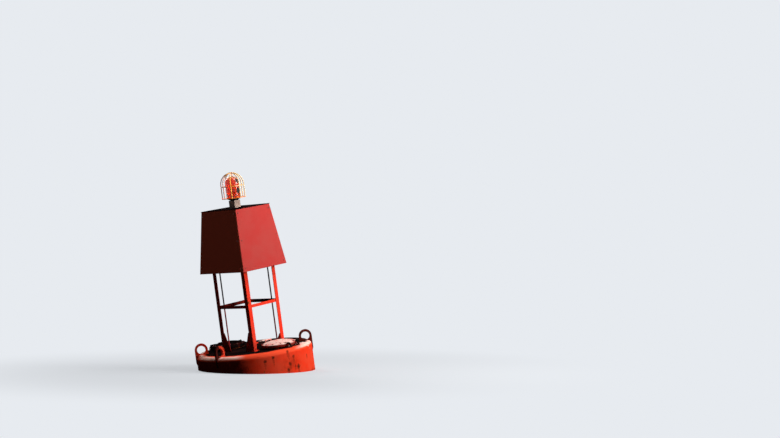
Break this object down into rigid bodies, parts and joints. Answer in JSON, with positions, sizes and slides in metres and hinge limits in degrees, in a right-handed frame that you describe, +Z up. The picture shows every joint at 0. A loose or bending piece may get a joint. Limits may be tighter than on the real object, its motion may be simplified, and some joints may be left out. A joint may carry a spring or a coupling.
{
  "type": "lighted navigation buoy",
  "caption": "Steel lighted buoy with drum hull, lattice tower, box daymark and guarded lantern, afloat upright on a tail tube and counterweight.",
  "frame": {"origin": "on the buoy's axis at the waterline, with the buoy upright", "axes": "+Z up along the buoy's axis, +X towards the right lifting eye and the right tower leg, -Y towards the near tower leg"},
  "size_m": [1.548, 1.524, 3.7435],
  "materials": {
    "hull_paint": "weathered orange-red paint with rust spots",
    "bottom_paint": "dull dark red bottom paint",
    "cast_ballast": "rough dark casting",
    "eye_paint": "worn dark red paint with rust",
    "pocket_paint": "dark grimy paint",
    "pin_steel": "dull steel",
    "lid_paint": "red paint under white droppings",
    "tower_paint": "orange-red paint",
    "vent_paint": "dark red paint",
    "daymark_paint": "matt red paint",
    "post_paint": "grey-beige paint",
    "base_paint": "black paint",
    "changer_metal": "satin",
    "head_ring_metal": "dull bronze",
    "lens_red": "clear red acrylic",
    "guard_brass": "weathered brass"
  },
  "bodies": {
    "root": {"hull": "hull_paint", "hull_bottom": "bottom_paint", "tail_tube": "bottom_paint", "tail_brackets": "bottom_paint", "counterweight": "cast_ballast", "mooring_eye": "cast_ballast", "eye_right": "eye_paint", "eye_left": "eye_paint", "eye_front": "eye_paint", "pocket_front": "pocket_paint", "pocket_rear": "pocket_paint", "pocket_pins": "pin_steel", "foot_plates": "tower_paint", "foot_gussets": "tower_paint", "leg_right": "tower_paint", "leg_far": "tower_paint", "leg_left": "tower_paint", "leg_near": "tower_paint", "ring_brace": "tower_paint", "vent_right": "vent_paint", "vent_left": "vent_paint", "mark_frame": "tower_paint", "outriggers": "tower_paint", "panel_right_front": "daymark_paint", "panel_right_back": "daymark_paint", "panel_left_back": "daymark_paint", "panel_left_front": "daymark_paint", "roof_plate": "daymark_paint", "lamp_post": "post_paint", "lamp_base": "base_paint", "lamp_changer": "changer_metal", "head_pin": "pin_steel"},
    "front_lid": {"lid_front": "lid_paint"},
    "rear_lid": {"lid_rear": "lid_paint"},
    "lantern_head": {"head_ring": "head_ring_metal", "lens": "lens_red", "lens_guard": "guard_brass"}
  },
  "joints": [
    {"name": "front_lid_hinge", "type": "hinge", "parent": "root", "child": "front_lid", "pos_m": [0.51938, -0.43581, 0.32], "axis": [0.6428, 0.766, 0], "range_deg": [0, 110]},
    {"name": "rear_lid_hinge", "type": "hinge", "parent": "root", "child": "rear_lid", "pos_m": [-0.51938, 0.43581, 0.32], "axis": [-0.6428, -0.766, 0], "range_deg": [0, 110]},
    {"name": "lantern_hinge", "type": "hinge", "parent": "root", "child": "lantern_head", "pos_m": [0, 0.177, 2.284], "axis": [-1, 0, 0], "range_deg": [0, 100]}
  ]
}
